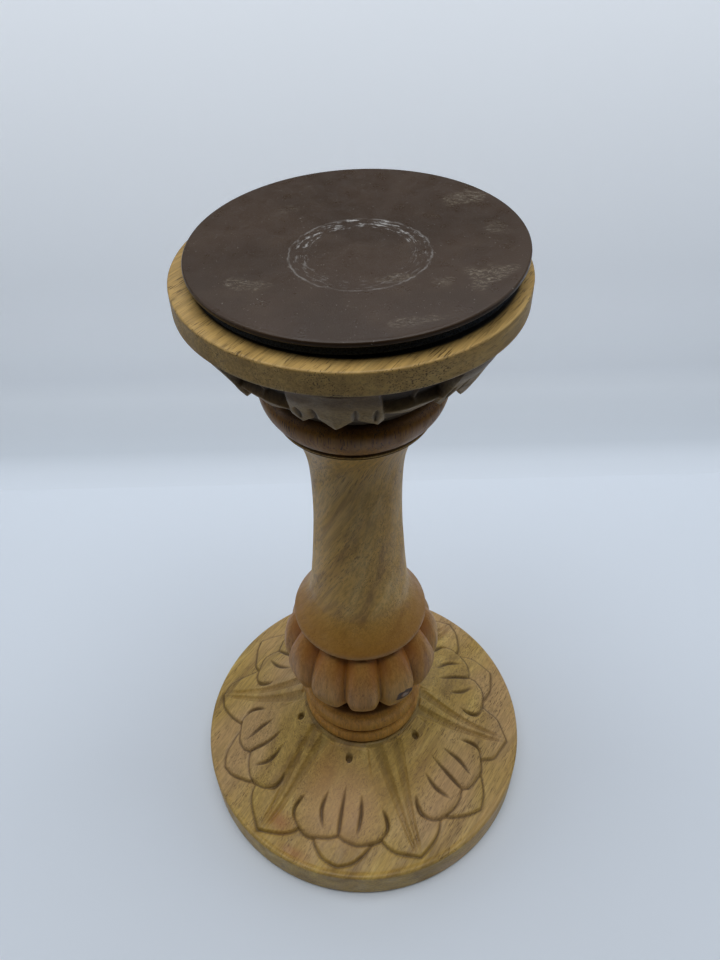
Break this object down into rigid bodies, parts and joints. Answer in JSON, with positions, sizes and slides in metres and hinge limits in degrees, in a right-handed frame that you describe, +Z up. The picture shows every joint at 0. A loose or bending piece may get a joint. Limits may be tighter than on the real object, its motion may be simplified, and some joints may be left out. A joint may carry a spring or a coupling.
{
  "type": "pedestal stand",
  "caption": "Turned and hand-carved wooden pedestal stand with a lotus-carved base, a gadrooned bulb and a round padded top plate that swivels and tilts a little.",
  "frame": {"origin": "centre of the felt under the base, on the surface that the stand rests on", "axes": "+Z up along the turned axis, -Y towards the front, +X to the right seen from the front"},
  "size_m": [0.1432, 0.1432, 0.2593],
  "materials": {
    "base_wood": "hand carved mango wood, waxed, honey to ochre",
    "bulb_wood": "hand carved mango wood, waxed, more orange",
    "shaft_wood": "turned mango wood with dark diagonal streaks",
    "platter_wood": "turned mango wood with open pores",
    "bell_wood": "carved mango wood, darkened in the cuts",
    "brown_plastic": "satin dark brown moulded plastic with scuffs and glue residue",
    "black_foam": "black closed-cell foam, cut edge",
    "grey_felt": "needle felt",
    "zinc_steel": "zinc plated steel",
    "bush_brass": "turned brass",
    "white_nylon": "nylon",
    "beech_dowel": "planed beech rod",
    "white_tape": "foam mounting tape"
  },
  "bodies": {
    "root": {"base_felt": "grey_felt", "carved_base": "base_wood", "lower_ring": "base_wood", "upper_ring": "base_wood", "gadroon_bulb": "bulb_wood", "turned_shaft": "shaft_wood", "upper_collar": "shaft_wood", "lotus_bell": "bell_wood", "platter": "platter_wood", "tie_rod": "zinc_steel", "tie_rod_nuts": "zinc_steel", "tie_rod_washers": "zinc_steel", "locating_dowels": "beech_dowel", "platter_screws": "zinc_steel", "pivot_bush": "bush_brass", "friction_washer": "white_nylon"},
    "pivot_head": {"swivel_fork": "zinc_steel", "spring_washer": "zinc_steel", "pivot_nut": "zinc_steel", "tilt_pin": "zinc_steel", "pin_clips": "zinc_steel"},
    "tilt_plate": {"plate_bracket": "zinc_steel", "mounting_tape": "white_tape", "foam_ring": "black_foam", "top_plate": "brown_plastic"}
  },
  "joints": [
    {"name": "top_swivel", "type": "hinge", "parent": "root", "child": "pivot_head", "pos_m": [0, 0, 0.2475], "axis": [0, 0, 1], "continuous": true},
    {"name": "top_tilt", "type": "hinge", "parent": "pivot_head", "child": "tilt_plate", "pos_m": [0, 0, 0.25287], "axis": [0.2588, -0.9659, 0], "range_deg": [-3.5, 0.5]}
  ]
}
